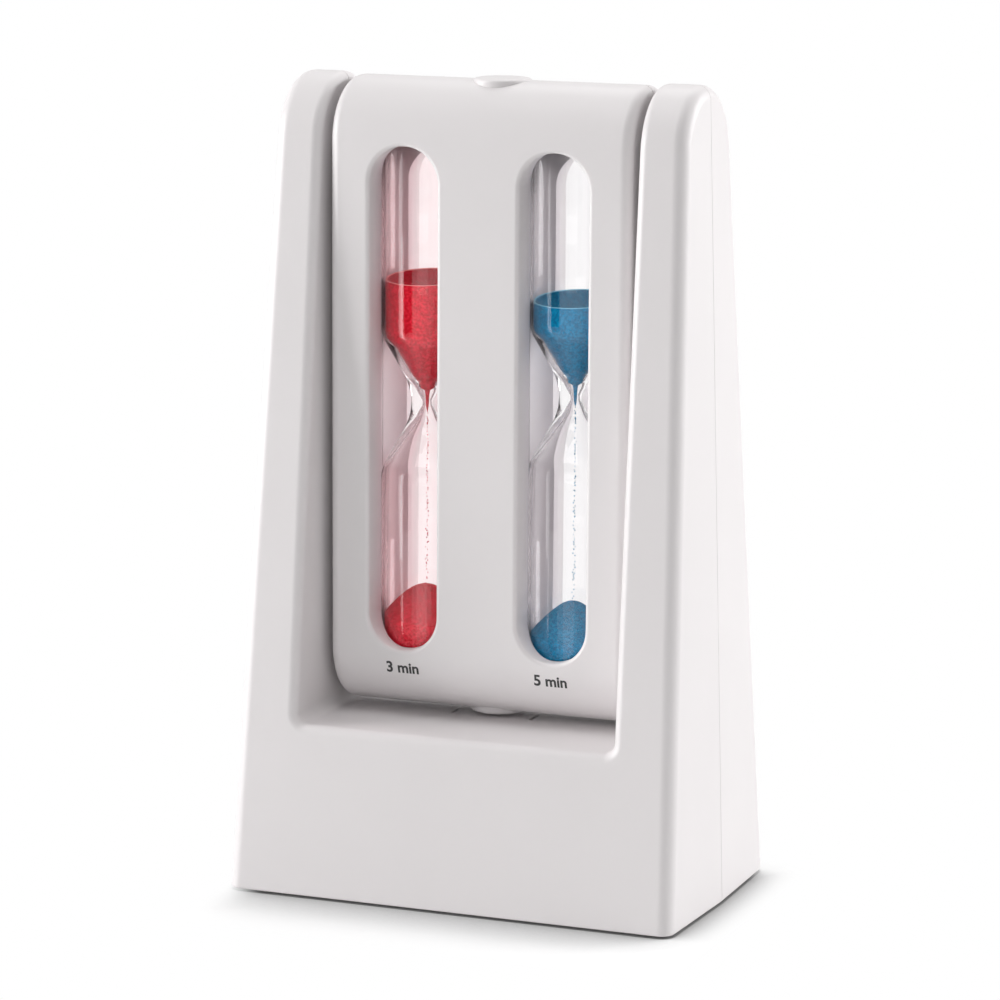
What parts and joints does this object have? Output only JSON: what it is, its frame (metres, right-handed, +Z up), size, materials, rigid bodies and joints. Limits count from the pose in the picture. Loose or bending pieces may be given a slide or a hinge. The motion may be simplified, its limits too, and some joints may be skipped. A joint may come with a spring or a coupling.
{
  "type": "double sand timer",
  "caption": "Double sand timer: a flat case with a red and a blue glass vial flips end over end between the posts of a tapered white stand.",
  "frame": {"origin": "on the table, under the middle of the stand", "axes": "+Z up; the front face, where the red vial is on the left, looks along -Y; +X to the right"},
  "size_m": [0.0888, 0.053, 0.1505],
  "materials": {
    "white_plastic": "smooth satin moulding, slightly warm white",
    "base_plastic": "plain moulding",
    "screw_steel": "plated",
    "foot_rubber": "matt",
    "pin_plastic": "smooth",
    "clear_glass": "clear",
    "plug_plastic": "plain",
    "cushion_rubber": "soft foam",
    "red_sand": "fine dyed sand",
    "blue_sand": "fine dyed sand",
    "print_ink": "pad print"
  },
  "bodies": {
    "stand": {"stand_front_shell": "white_plastic", "stand_rear_shell": "white_plastic", "base_plate": "base_plastic", "shell_screw_1": "screw_steel", "shell_screw_2": "screw_steel", "shell_screw_3": "screw_steel", "shell_screw_4": "screw_steel", "foot_pad_1": "foot_rubber", "foot_pad_2": "foot_rubber", "foot_pad_3": "foot_rubber", "foot_pad_4": "foot_rubber"},
    "flip_case": {"case_front_shell": "white_plastic", "case_rear_shell": "white_plastic", "end_stud_upper": "white_plastic", "end_stud_lower": "white_plastic", "pivot_pin_left": "pin_plastic", "pivot_pin_right": "pin_plastic", "vial_3min": "clear_glass", "vial_plug_3min": "plug_plastic", "vial_cushion_3min_upper": "cushion_rubber", "vial_cushion_3min_lower": "cushion_rubber", "red_sand_upper": "red_sand", "red_sand_lower": "red_sand", "vial_5min": "clear_glass", "vial_plug_5min": "plug_plastic", "vial_cushion_5min_upper": "cushion_rubber", "vial_cushion_5min_lower": "cushion_rubber", "blue_sand_upper": "blue_sand", "blue_sand_lower": "blue_sand"}
  },
  "joints": [
    {"name": "case_flip", "type": "hinge", "parent": "stand", "child": "flip_case", "pos_m": [0, 0, 0.09155], "axis": [1, 0, 0], "continuous": true}
  ]
}
